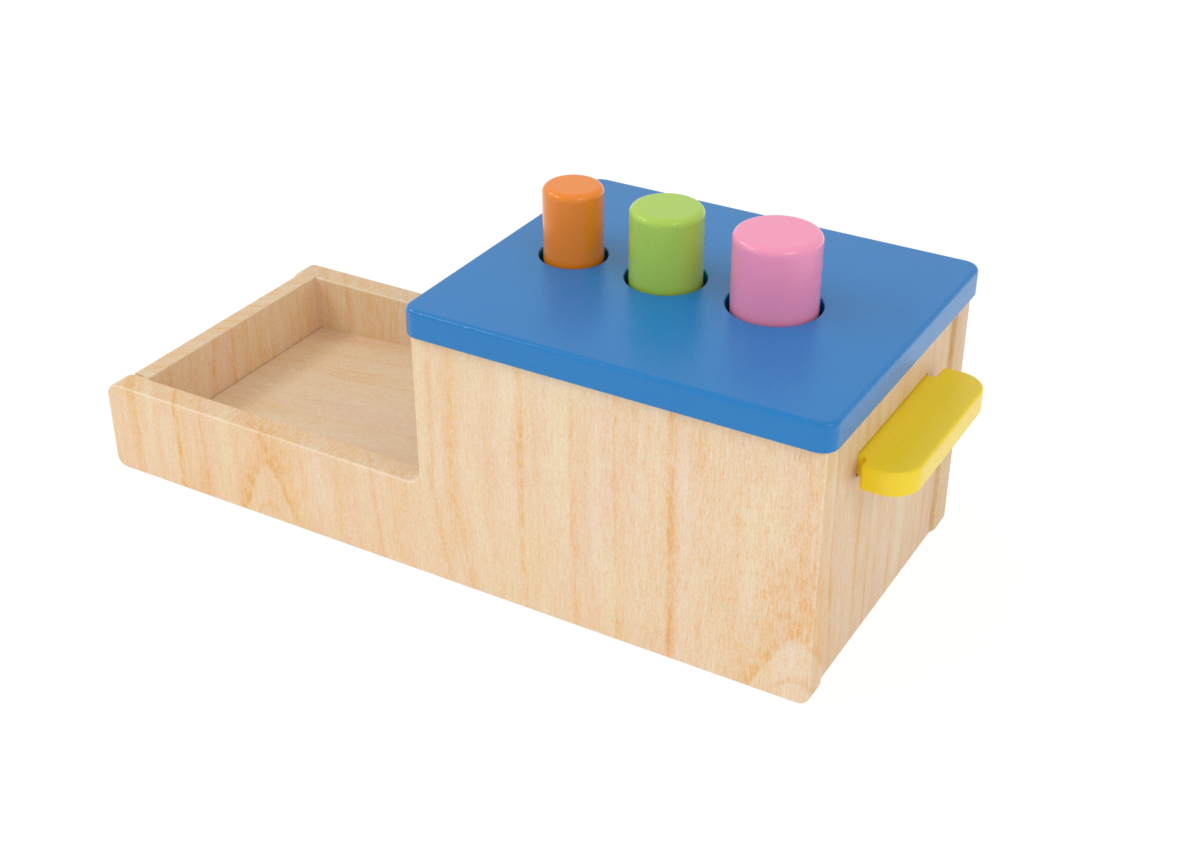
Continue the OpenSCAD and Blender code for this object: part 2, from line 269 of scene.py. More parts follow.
def stretched_noise(tree, place, cell, seed, detail=2.0, roughness=0.5):
    """Noise whose cells measure cell millimetres across, through and along the plank."""
    shift = [seed * step for step in SEED_STEP]
    scaled = add(
        tree, "ShaderNodeVectorMath", [place, [1 / c for c in cell], shift], operation="MULTIPLY_ADD"
    )
    return add(
        tree,
        "ShaderNodeTexNoise",
        {"Vector": scaled.outputs[0], "Scale": 1.0, "Detail": detail, "Roughness": roughness},
    ).outputs["Fac"]


print("one unit of the patterns is", MM, "metres")

# %% [markdown]
# ## Growth rings
#
# A tree's rings are cones, one in the other. Where a board is sawn beside the heart of the
# tree, the cut shows them as pointed arches, and further out they run nearly straight up
# the board. So a point on a board is placed in two ways: by the foot of the line that runs
# through it, where the lines lean a little more or less from place to place up to a certain
# height, and by its distance from each arch, a cone that the saw cut a few millimetres off
# its axis. At an arch's foot the rings lie closer than at its top.

# %% Where a point lies among the rings
Arch = namedtuple("Arch", "middle half_opening height bluntness reach strength right_share")
SPREAD_AT_FOOT, SPREAD_AT_TOP = 0.5, 1.2
UPRIGHT = 0.5  # the grey that stands for a line that doesn't lean


def foot_of_line(tree, across, along, width, leans, upright_from):
    """Place where the line through a point meets the board's foot, from places and their leans."""
    low = add(tree, "ShaderNodeMath", [along, upright_from], operation="MINIMUM").outputs[0]
    factor = add(tree, "ShaderNodeMapRange", [across, 0, width, 0, 1]).outputs[0]
    ramp = add(tree, "ShaderNodeValToRGB", [factor])
    set_ramp(ramp, [(place / width, grey(lean + UPRIGHT)) for place, lean in leans])
    lean = add(tree, "ShaderNodeMath", [ramp.outputs[0], UPRIGHT], operation="SUBTRACT").outputs[0]
    rise = add(tree, "ShaderNodeMath", [lean, low], operation="MULTIPLY").outputs[0]
    return add(tree, "ShaderNodeMath", [across, rise], operation="SUBTRACT").outputs[0]


def outside_arch(tree, across, along, arch):
    """How far a point lies outside an arch, in mm at about seven tenths of its height."""
    spread = add(
        tree,
        "ShaderNodeMath",
        [along, (SPREAD_AT_TOP - SPREAD_AT_FOOT) / arch.height, SPREAD_AT_FOOT],
        operation="MULTIPLY_ADD",
    ).outputs[0]
    aside = add(tree, "ShaderNodeMath", [across, arch.middle], operation="SUBTRACT").outputs[0]
    flat = add(tree, "ShaderNodeCombineXYZ", [aside, arch.bluntness]).outputs[0]
    distance = add(tree, "ShaderNodeVectorMath", [flat], operation="LENGTH").outputs["Value"]
    taper = (arch.half_opening - arch.bluntness) / arch.height
    cone = add(tree, "ShaderNodeMath", [along, taper, distance], operation="MULTIPLY_ADD").outputs[0]
    outside = add(tree, "ShaderNodeMath", [cone, arch.half_opening], operation="SUBTRACT").outputs[0]
    return add(tree, "ShaderNodeMath", [outside, spread], operation="DIVIDE").outputs[0]


print("an arch is given by", ", ".join(Arch._fields).replace("_", " "))

# %% [markdown]
# ## Late wood
#
# Each ring starts pale in spring and ends golden in late summer, and then breaks off
# sharply, so a golden line has one soft side and one sharp side. A Color Ramp draws such a
# line with four stops. It holds 32 of them, so a board with more than seven lines has
# several ramps, and the strongest counts.

# %% Golden lines
LINES_PER_RAMP = 7
LINE_MARGIN = 40.0
SHARP_SIDE, SOFT_SHOULDER = 1.2, 1.4


def late_wood(tree, place, width, lines, body=0.42):
    """Strength of the golden late wood, from lines given as place, soft reach and strength."""
    start, span = -LINE_MARGIN, width + 2 * LINE_MARGIN
    factor = add(tree, "ShaderNodeMapRange", [place, start, start + span, 0, 1]).outputs[0]
    strongest = 0.0
    for first in range(0, len(lines), LINES_PER_RAMP):
        stops = [(0.0, grey(0)), (1.0, grey(0))]
        for line_place, reach, strength in lines[first : first + LINES_PER_RAMP]:
            toward = math.copysign(1, reach)
            sharp, shoulder = -SHARP_SIDE * toward, SOFT_SHOULDER * toward
            profile = [(sharp, 0), (0, strength), (shoulder, body * strength), (reach, 0)]
            stops += [((line_place + shift - start) / span, grey(level)) for shift, level in profile]
        ramp = add(tree, "ShaderNodeValToRGB", [factor])
        set_ramp(ramp, stops)
        strongest = add(
            tree, "ShaderNodeMath", [strongest, ramp.outputs[0]], operation="MAXIMUM"
        ).outputs[0]
    return strongest


print("one ramp holds", LINES_PER_RAMP, "golden lines")

# %% [markdown]
# ## Rings that wander
#
# Lines drawn by a rule look ruled. In a real board they wander by a millimetre or two over
# a hand's width, ripple over a few millimetres, and fray at their edges, so three noises
# push each point across the board before its ring is looked up. Through the thickness the
# rings run aslant, which shows on the cut edges. The gold itself is patchy along each line.

# %% Bend the rings and lay the gold
RING_WANDER = [  # cell in mm, reach in mm, detail and seed of each noise
    ((50, 60, 110), 4.0, 2, 4),
    ((6, 7, 16), 2.0, 3, 2),
    ((0.9, 0.9, 3.0), 2.0, 3, 2),
]
GOLD_PATCHES = [((20, 20, 34), 0.45, 1.0), ((1.2, 1.2, 6), 0.5, 1.3)]  # cell, weakest, strongest
GOLD_NOISE = (0.36, 0.62)
HEART_EDGE = (-9, -1)
INNER_RING, INNER_REACH, INNER_SHARE = -13, 4, 0.4
ARCH_BODY = 0.8


def bent_across(tree, place, parts, seed, slant, face):
    """Place across the board among rings that wander, and run aslant from the face that shows."""
    shift = 0.0
    for cell, reach, detail, draw in RING_WANDER:
        noise = stretched_noise(tree, place, cell, seed + draw, detail=detail)
        noise = add(tree, "ShaderNodeMath", [noise, 0.5], operation="SUBTRACT").outputs[0]
        shift = add(tree, "ShaderNodeMath", [noise, reach, shift], operation="MULTIPLY_ADD").outputs[0]
    depth = add(tree, "ShaderNodeMath", [parts[1], -face], operation="ADD").outputs[0]
    shift = add(tree, "ShaderNodeMath", [depth, slant, shift], operation="MULTIPLY_ADD").outputs[0]
    return add(tree, "ShaderNodeMath", [parts[0], shift], operation="ADD").outputs[0]


def gold_of_arch(tree, bent, outside, arch):
    """Strength of the gold of one arch, a line outside and a weaker one further in."""
    inner = (INNER_RING, INNER_REACH, INNER_SHARE * arch.strength)
    gold = late_wood(tree, outside, 0, [(0, arch.reach, arch.strength), inner], body=ARCH_BODY)
    right = arch.middle + arch.half_opening / 2
    share = add(
        tree,
        "ShaderNodeMapRange",
        [bent, arch.middle, right, 1, arch.right_share],
        interpolation_type="SMOOTHSTEP",
    ).outputs[0]
    return add(tree, "ShaderNodeMath", [gold, share], operation="MULTIPLY").outputs[0]


def golden_wood(tree, place, parts, bent, ring, width, lines, arches, seed):
    """Strength of the gold on a board, and of the paler heart that lies within its arches."""
    golden = late_wood(tree, ring, width, lines)
    heart = 0.0
    for arch in arches:
        outside = outside_arch(tree, bent, parts[2], arch)
        inside = add(
            tree, "ShaderNodeMapRange", [outside, *HEART_EDGE, 1, 0], interpolation_type="SMOOTHSTEP"
        ).outputs[0]
        golden = add(
            tree, "ShaderNodeMath", [golden, inside], operation="SUBTRACT", use_clamp=True
        ).outputs[0]
        gold = gold_of_arch(tree, bent, outside, arch)
        golden = add(tree, "ShaderNodeMath", [golden, gold], operation="MAXIMUM").outputs[0]
        heart = add(tree, "ShaderNodeMath", [heart, inside], operation="MAXIMUM").outputs[0]
    for cell, weakest, strongest in GOLD_PATCHES:
        patchy = stretched_noise(tree, place, cell, seed + 6, detail=3)
        patchy = add(
            tree,
            "ShaderNodeMapRange",
            [patchy, *GOLD_NOISE, weakest, strongest],
            interpolation_type="SMOOTHSTEP",
        ).outputs[0]
        golden = add(tree, "ShaderNodeMath", [golden, patchy], operation="MULTIPLY").outputs[0]
    return golden, heart


print("the rings wander by up to", sum(reach for _, reach, _, _ in RING_WANDER) / 2, "mm to each side")

# %% [markdown]
# ## Fibres on faces and on cut edges
#
# On a face the fibres run along the grain. Where an edge crosses the grain they are cut,
# and their pores show as a fine ribbing over the edge. So on the two kinds of edge that
# cross the plank's directions, the coordinates of the fibres are turned and sheared. The
# length of the squared normal tells flat from rounded: it is 1 on a flat face and less
# where the face turns. There the wood is drawn paler, partly because sandpaper took most
# there, and partly as a painted highlight on the rounded edge.

# %% Coordinates of the fibres
SQUARE_ON = 0.8
ROUND_TO_FLAT = (0.87, 0.985)
END_SHEAR, EDGE_SHEAR = 0.16, -1.0


def fibre_places(tree, place, parts, directions):
    """Coordinates of the fibres, where they are cut, and where the board is rounded, drawn paler as sanded
    wood and a painted highlight.
    """
    across, _, along = directions
    facing = add(tree, "ShaderNodeTexCoord").outputs["Normal"]
    fibre_space, cut = place, 0.0
    for axis, shear, kept, second, third in (
        (along, END_SHEAR, parts[0], parts[2], parts[1]),
        (across, EDGE_SHEAR, parts[2], parts[0], parts[2]),
    ):
        meets = add(tree, "ShaderNodeVectorMath", [facing, axis], operation="DOT_PRODUCT").outputs["Value"]
        meets = add(tree, "ShaderNodeMath", [meets], operation="ABSOLUTE").outputs[0]
        meets = add(tree, "ShaderNodeMath", [meets, SQUARE_ON], operation="GREATER_THAN").outputs[0]
        lean = add(tree, "ShaderNodeMath", [parts[1], shear, kept], operation="MULTIPLY_ADD").outputs[0]
        turned = add(tree, "ShaderNodeCombineXYZ", [lean, second, third]).outputs[0]
        fibre_space = add(
            tree, "ShaderNodeMix", {0: meets, 4: fibre_space, 5: turned}, data_type="VECTOR"
        ).outputs[1]
        cut = add(tree, "ShaderNodeMath", [cut, meets], operation="ADD").outputs[0]
    squared = add(tree, "ShaderNodeVectorMath", [facing, facing], operation="MULTIPLY").outputs[0]
    flatness = add(tree, "ShaderNodeVectorMath", [squared], operation="LENGTH").outputs["Value"]
    # Rounded edges are drawn paler: partly sanded wood, partly a painted highlight on the curve.
    sanded_and_highlit_edge = add(
        tree, "ShaderNodeMapRange", [flatness, *ROUND_TO_FLAT, 1, 0], interpolation_type="SMOOTHSTEP"
    ).outputs[0]
    return fibre_space, cut, sanded_and_highlit_edge


print("an edge counts as cut up to", round(math.degrees(math.acos(SQUARE_ON))), "degrees from square on")

# %% [markdown]
# ## Cast and specks
#
# Wood isn't one hue: some patches are rosier and some yellower, a few centimetres wide. And
# here and there is a tiny dark speck. A Voronoi pattern has one point in each of its cells,
# and a speck shows where the face happens to pass through such a point.

# %% Cast and specks
ROSY_TINT = (0.0, -0.015, 0.035)
CAST_CELL = (16, 60, 70)
CAST_NOISE = (0.34, 0.66)
SPECK = "#A8663C"
SPECK_SPACING = (24, 24, 30)
SPECK_EDGE = (0.016, 0.028)
SPECK_DARKNESS = 0.6


def cast_and_specks(tree, colour, place, banded, seed):
    """Colour of the wood with its patches of hue and its specks."""
    cast = stretched_noise(tree, banded, CAST_CELL, seed + 12, detail=2)
    cast = add(tree, "ShaderNodeMapRange", [cast, *CAST_NOISE, -1, 1]).outputs[0]
    tint = add(tree, "ShaderNodeVectorMath", {0: ROSY_TINT, "Scale": cast}, operation="SCALE").outputs[0]
    tint = add(tree, "ShaderNodeVectorMath", [tint, (1, 1, 1)], operation="ADD").outputs[0]
    colour = add(tree, "ShaderNodeVectorMath", [colour, tint], operation="MULTIPLY").outputs[0]
    spots = add(
        tree, "ShaderNodeVectorMath", [place, [1 / c for c in SPECK_SPACING]], operation="MULTIPLY"
    ).outputs[0]
    spots = add(tree, "ShaderNodeTexVoronoi", {"Vector": spots, "Scale": 1.0}).outputs["Distance"]
    spots = add(
        tree,
        "ShaderNodeMapRange",
        [spots, *SPECK_EDGE, SPECK_DARKNESS, 0],
        interpolation_type="SMOOTHSTEP",
    ).outputs[0]
    return add(
        tree, "ShaderNodeMix", {0: spots, 6: colour, 7: linear(SPECK)}, data_type="RGBA"
    ).outputs[2]


print("specks are up to", round(2 * SPECK_EDGE[1] * SPECK_SPACING[0], 1), "mm wide")

# %% [markdown]
# ## Pale sanded wood
#
# The walls are a pale, even wood like birch, sanded and left with a thin clear satin
# lacquer. All of its drawing is a change in density: early wood is cream, late wood holds
# more of the lacquer and turns golden to amber. So bands, lines, fibres and the fuzz of
# sanding are all added up to one tone, and a single row of colours turns that into wood.
# On the edges that cross the grain the cut pores show as a fine ribbing, a shade darker,
# and the rounded edges are a shade paler: partly sanded last, and partly a painted
# highlight. Where a board is coarse its pores show most, and a board can be deeper in tone
# at one side. The lacquer is rough enough to show a soft sheen with no mirror image.

# %% Material for one sawn board
WOOD_TONES = [
    (0.05, "#F3E1C5"),
    (0.25, "#F1DABB"),
    (0.45, "#EFD1AD"),
    (0.58, "#EECBA1"),
    (0.72, "#EEC592"),
    (0.86, "#EDBE82"),
    (1.00, "#EBB26C"),
]
MIDDLE_TONE = 0.435
FIBRE_CELL, FUZZ_CELL, PORE_CELL = (0.6, 0.6, 9), (0.55, 0.55, 1.4), (0.4, 0.4, 7)
BAND_CELL, MOTTLE_CELL = (4.5, 60, 200), (13, 13, 36)
PORE_NOISE = (0.55, 0.68)
PORES_WHERE_FINE = 0.15
PORE_DEPTH = 0.4
CUT_SHADE = 0.93
LACQUER_IOR = 1.45
LACQUER_ROUGHNESS = (0.42, 0.54)
NOISE_RANGE = (0.3, 0.7)
FIBRE_HEIGHT = 0.05
BOARD_START = (-0.18555, -0.073, 0)  # the foot of the front panel's outside, at the tray's end
EVEN = ((0, 0), (1, 0))


def sawn_board(
    name, directions, width, lines, seed, arches=(), leans=EVEN, upright_from=60,
    tone_and_painted_light=1.0, banding=1.0, slant=0.8, face=0, coarse=(-60, 200), deeper=EVEN,
):
    material = new_material(name)
    tree = material.node_tree
    place = plank_space(tree, directions, BOARD_START)
    parts = add(tree, "ShaderNodeSeparateXYZ", [place]).outputs
    bent = bent_across(tree, place, parts, seed, slant, face)
    ring = foot_of_line(tree, bent, parts[2], width, leans, upright_from)
    golden, heart = golden_wood(tree, place, parts, bent, ring, width, lines, arches, seed)

    # Fibres, the fuzz of sanding, and pores as short dashes where the board is coarse
    fibre_space, cut, sanded_and_highlit_edge = fibre_places(tree, place, parts, directions)
    fibres = stretched_noise(tree, fibre_space, FIBRE_CELL, seed + 8, detail=3, roughness=0.6)
    fuzz = stretched_noise(tree, fibre_space, FUZZ_CELL, seed + 10, detail=1)
    dashes = stretched_noise(tree, fibre_space, PORE_CELL, seed + 9, detail=1)
    open_grain = add(
        tree, "ShaderNodeMapRange", [bent, *coarse, PORES_WHERE_FINE, 1], interpolation_type="SMOOTHSTEP"
    ).outputs[0]
    pores = add(
        tree, "ShaderNodeMapRange", [dashes, *PORE_NOISE, 0, 1], interpolation_type="SMOOTHSTEP"
    ).outputs[0]
    pores = add(tree, "ShaderNodeMath", [pores, open_grain], operation="MULTIPLY").outputs[0]
    ribs = add(tree, "ShaderNodeMath", [fibres, 0.5], operation="SUBTRACT").outputs[0]
    ribs = add(tree, "ShaderNodeMath", [ribs, cut], operation="MULTIPLY").outputs[0]

    # Bands along the rings, mottle, and a drift in tone from one side of the board to the other
    banded = add(tree, "ShaderNodeCombineXYZ", [ring, parts[1], parts[2]]).outputs[0]
    bands = stretched_noise(tree, banded, BAND_CELL, seed + 4, detail=3, roughness=0.6)
    mottle = stretched_noise(tree, place, MOTTLE_CELL, seed + 5, detail=4, roughness=0.6)
    (start, at_start), (end, at_end) = deeper
    drift = add(
        tree, "ShaderNodeMapRange", [bent, start, end, at_start, at_end], interpolation_type="SMOOTHSTEP"
    ).outputs[0]

    # The one tone of the wood: each part is counted from its middle, times its amount
    tone = MIDDLE_TONE
    for part, amount, middle in (
        (bands, 0.6 * banding, 0.5),
        (mottle, 0.55 * banding, 0.5),
        (fibres, 0.65, 0.5),
        (fuzz, 0.8, 0.5),
        (golden, 0.55, 0.0),
        (pores, 0.36, 0.1),
        (heart, -0.05, 0.0),
        (cut, 0.1, 0.0),
        (ribs, 0.7, 0.0),
        # rounded edges paler, partly sanded wood and partly a painted highlight
        (sanded_and_highlit_edge, -0.2, 0.0),
        (drift, 1.0, 0.0),
    ):
        part = add(tree, "ShaderNodeMath", [part, middle], operation="SUBTRACT").outputs[0]
        tone = add(tree, "ShaderNodeMath", [part, amount, tone], operation="MULTIPLY_ADD").outputs[0]
    colours = add(tree, "ShaderNodeValToRGB", [tone])
    set_ramp(colours, [(position, linear(colour)) for position, colour in WOOD_TONES])
    colour = cast_and_specks(tree, colours.outputs[0], place, banded, seed)
    # The board's brightness factor scales its colour, end grain darker still. On the walls this factor is
    # painted light: brighter on the front panel, as where more light falls, and darker on the back panel,
    # the tray end wall, the floor and the handle end wall, as painted shade inside the tray and on the less
    # lit end. On the dowels it is the darker tone of beech.
    value = add(tree, "ShaderNodeMapRange", [cut, 0, 1, tone_and_painted_light, CUT_SHADE * tone_and_painted_light]).outputs[0]
    colour = add(tree, "ShaderNodeVectorMath", {0: colour, "Scale": value}, operation="SCALE").outputs[0]

    height = add(tree, "ShaderNodeMath", [pores, -PORE_DEPTH, fibres], operation="MULTIPLY_ADD").outputs[0]
    bump = add(tree, "ShaderNodeBump", {"Strength": 0.5, "Distance": FIBRE_HEIGHT * MM, "Height": height})
    gloss = add(tree, "ShaderNodeMapRange", [fibres, *NOISE_RANGE, *LACQUER_ROUGHNESS]).outputs[0]
    shader = add(
        tree,
        "ShaderNodeBsdfPrincipled",
        {"Base Color": colour, "Roughness": gloss, "IOR": LACQUER_IOR, "Normal": bump.outputs[0]},
    )
    add(tree, "ShaderNodeOutputMaterial", {"Surface": shader.outputs[0]})
    return material


print("wood runs from", WOOD_TONES[0][1], "to", WOOD_TONES[-1][1])

# %% [markdown]
# ## The boards
#
# Each board now gets its own cut of that wood: which way its grain runs, where its golden
# lines cross its foot, how they lean, and where it has an arch. A line is its place in mm,
# how far its soft side reaches and its strength. A lean is a place and how far the lines
# there move sideways for each mm up. An arch has the seven values named above, lengths in
# mm. Rings run aslant through a board, so a board is given the depth of the face that the
# picture shows, and the lines lie right there. The front panel has its coarse wood and its
# paler tone towards the handle end.

# %% Lines and leans of each wall
UPRIGHT_SIDE, UPRIGHT_CROSS, LYING = (X, Y, Z), (Y, X, Z), (Y, Z, X)
PANEL_LENGTH, BOX_WIDTH = 350, 146
FRONT_LINES = [
    (17.0, -7, 0.9), (40.2, 3, 1.2), (56.0, -16, 0.5), (84.0, -12, 0.4), (100.0, 14, 0.4),
    (111.0, 7, 0.25), (131.0, 3, 0.3), (141.5, 3, 0.35), (153.5, -3, 0.5), (164.0, -7, 0.45),
    (188.5, -4, 0.5), (199.5, -6, 0.8), (223.5, -4, 1.1), (247.5, 3, 0.7), (266.5, -3, 1.0),
    (289.5, 3, 1.2), (303.0, -6, 0.5), (314.0, 3, 0.3),
]
FRONT_LEANS = [
    (0, 0), (60, 0), (140, -0.06), (153, -0.11), (165, -0.14), (188, -0.2), (200, -0.19), (216, 0),
    (247, -0.02), (350, 0),
]
BACK_LINES = [
    (23.0, -5, 0.9), (34.0, 3, 0.5), (49.0, -3, 0.5), (55.2, 3, 1.0), (62.0, -3, 0.6), (92.0, 6, 0.7),
    (118.0, -7, 0.8), (150.0, 6, 0.5), (181.0, -7, 0.7), (236.0, 7, 0.8), (262.0, -5, 0.7),
    (301.0, 6, 0.8), (330.0, -5, 0.7),
]
TRAY_END_LINES = [
    (20, 3, 0.4), (27, 3, 0.6), (38, 3, 0.6), (48.5, -3, 0.7), (57, 3, 0.3), (67, 4, 0.4),
    (81, -3, 0.7), (97, -8, 0.7), (110, 3, 0.3), (121, 3, 0.6),
]
TRAY_END_LEANS = [(0, 0), (60, 0.02), (81, -0.1), (97, -0.16), (121, 0), (146, 0)]
HANDLE_END_LINES = [
    (19, 3, 0.4), (26, 5, 0.5), (35, 4, 0.35), (48.5, -5, 0.45), (64.0, -3, 0.8), (78, 3, 0.45),
    (87.5, 3, 0.4), (100.4, 3, 0.8), (121, -5, 0.7),
]
HANDLE_END_LEANS = [
    (0, 0), (15, -0.06), (30, -0.06), (55, -0.03), (64, 0.01), (100, 0), (119, 0.14), (146, 0.1),
]
CHUTE_LINES = [(30, 4, 0.7), (52, -4, 0.7), (96, 5, 0.7), (120, -3, 0.6)]
FLOOR_LINES = [
    (20, 5, 0.3), (56, 8, 0.3), (90, 9, 0.5), (97, -9, 0.5), (108, 9, 0.5), (126, -8, 0.6), (134, 6, 0.5),
]
FLOOR_LEANS = [(0, 0), (60, 0), (95, 0.04), (110, 0.08), (146, 0.05)]
RAIL_LINES = [(20, 4, 0.5), (126, 5, 0.5)]
print("the front panel has", len(FRONT_LINES), "golden lines")

# %% Wood for each wall
# The brightness factor of each wall is painted light: the front panel a little brighter, as where more light
# falls, and the back panel, the tray end wall, the handle end wall and the floor darker, as painted shade
# inside the tray and on the end that gets less light.
wall_wood = {
    "front_side_panel": sawn_board(
        "birch_front_panel", UPRIGHT_SIDE, PANEL_LENGTH, FRONT_LINES, 11,
        arches=[Arch(91.5, 16, 30, 5, 9, 1.15, 0.6), Arch(345, 22, 31, 8, 14, 1.35, 1)],
        leans=FRONT_LEANS, upright_from=45, tone_and_painted_light=1.035,
        coarse=(210, 300), deeper=((80, 0.07), (260, -0.045)),
    ),
    "back_side_panel": sawn_board(
        "birch_back_panel", UPRIGHT_SIDE, PANEL_LENGTH, BACK_LINES, 23,
        arches=[Arch(205, 19, 96, 2, 7, 0.8, 0.8)], tone_and_painted_light=0.94, face=134,
    ),
    "tray_end_wall": sawn_board(
        "birch_tray_end", UPRIGHT_CROSS, BOX_WIDTH, TRAY_END_LINES, 37,
        leans=TRAY_END_LEANS, tone_and_painted_light=0.98, face=15,
    ),
    "handle_end_wall": sawn_board(
        "birch_handle_end", UPRIGHT_CROSS, BOX_WIDTH, HANDLE_END_LINES, 41,
        leans=HANDLE_END_LEANS, tone_and_painted_light=0.93, banding=1.3, face=347.4,
    ),
    "chute_wall": sawn_board("birch_chute_wall", UPRIGHT_CROSS, BOX_WIDTH, CHUTE_LINES, 53),
    "sloping_floor": sawn_board(
        "birch_floor", LYING, BOX_WIDTH, FLOOR_LINES, 67,
        leans=FLOOR_LEANS, upright_from=350, tone_and_painted_light=0.93, banding=0.5, slant=0,
    ),
}
for name in ("front_guide_rail", "back_guide_rail"):
    wall_wood[name] = sawn_board("birch_" + name, LYING, BOX_WIDTH, RAIL_LINES, 71)
print("boards:", ", ".join(material.name for material in wall_wood.values()))

# %% [markdown]
# ## Satin paint
#
# The lid, the pegs and the shutter are wood under a satin paint. Sprayed paint dries with
# a fine orange peel, dimples under a millimetre wide, which breaks a highlight into
# sparkles. Real ones are a few thousandths of a millimetre deep. Here they are drawn some
# hundredths deep, so that they show at the size of the picture. IOR 1.5 is usual for a
# paint binder. The roughness is that of a satin finish: it mirrors the pegs in the lid, but
# only as a blur.

# %% Material for one coat of paint
PAINT_IOR = 1.5
DIMPLE, SWELL, CLOUD = (0.9, 0.9, 0.9), (9, 9, 9), (38, 38, 38)
SWELL_HEIGHT = 0.25
CLOUD_SHADES = (0.98, 1.02)


def satin_paint(name, hex_colour, seed, roughness=0.11, peel=0.14):
    material = new_material(name)
    tree = material.node_tree
    place = plank_space(tree, (X, Y, Z), (0, 0, 0))
    dimples = stretched_noise(tree, place, DIMPLE, seed, detail=1)
    swell = stretched_noise(tree, place, SWELL, seed + 1, detail=2)
    cloud = stretched_noise(tree, place, CLOUD, seed + 2)
    height = add(tree, "ShaderNodeMath", [swell, SWELL_HEIGHT, dimples], operation="MULTIPLY_ADD").outputs[0]
    bump = add(tree, "ShaderNodeBump", {"Strength": 1.0, "Distance": peel * MM, "Height": height})
    value = add(tree, "ShaderNodeMapRange", [cloud, *NOISE_RANGE, *CLOUD_SHADES]).outputs[0]
    colour = add(
        tree, "ShaderNodeVectorMath", {0: linear(hex_colour)[:3], "Scale": value}, operation="SCALE"
    ).outputs[0]
    gloss = add(
        tree, "ShaderNodeMapRange", [swell, *NOISE_RANGE, roughness - 0.01, roughness + 0.02]
    ).outputs[0]
    shader = add(
        tree,
        "ShaderNodeBsdfPrincipled",
        {"Base Color": colour, "Roughness": gloss, "IOR": PAINT_IOR, "Normal": bump.outputs[0]},
    )
    add(tree, "ShaderNodeOutputMaterial", {"Surface": shader.outputs[0]})
    return material


print("dimples of the paint are", DIMPLE[0], "mm wide")

# %% [markdown]
# ## Five coats of paint
#
# The pegs are the glossiest pieces. The lid and the shutter are a little rougher, so their
# mirror images are wider and fainter.

# %% Paint for the lid, the shutter and the pegs
paint = {
    "lid": satin_paint("blue_satin_paint", "#007BC3", 3, roughness=0.19),
    "sliding_shutter": satin_paint("yellow_satin_paint", "#FBDC1C", 5, roughness=0.22),
    "small_peg": satin_paint("orange_satin_paint", "#F88C22", 7),
    "medium_peg": satin_paint("green_satin_paint", "#B2D654", 9),
    "large_peg": satin_paint("pink_satin_paint", "#FD9BBE", 13),
}
print("paints:", ", ".join(material.name for material in paint.values()))

# %% [markdown]
# ## Beech dowels
#
# The dowels and the stop pins are turned beech, a little darker than the walls. The grain
# runs the long way of each dowel. The stop pins share the wood of the lying dowels.

# %% Wood for the dowels, by the axis that they run along
LYING_Y, STANDING = 1, 2
DOWEL_LINES = [(20, 4, 0.3)]
dowel_wood = {
    LYING_Y: sawn_board("beech_dowel_lying", (X, Z, Y), PANEL_LENGTH, DOWEL_LINES, 83, tone_and_painted_light=0.9),
    STANDING: sawn_board("beech_dowel_standing", (X, Y, Z), PANEL_LENGTH, DOWEL_LINES, 89, tone_and_painted_light=0.9),
}
print("dowels:", ", ".join(material.name for material in dowel_wood.values()))

# %% [markdown]
# ## Fluted dowels
#
# The walls are held by beech dowels, which show when the box is taken apart. The CAD model
# has them as plain rods of the right size and place. Real ones have straight flutes pressed
# along them, so that glue and air can get past, and a chamfer at each end that helps them
# into the hole. All dowels are alike, so one Geometry Nodes tree makes one dowel from a
# cylinder, bends its sides into flutes and its ends into chamfers, and sets a copy on each
# point that it is given. The crests of the flutes keep the diameter of the rod.

# %% Shape of one dowel
FLUTES = 14
STEPS_PER_FLUTE = 6
SIDE_RINGS = 3
NEAR_END = 0.9


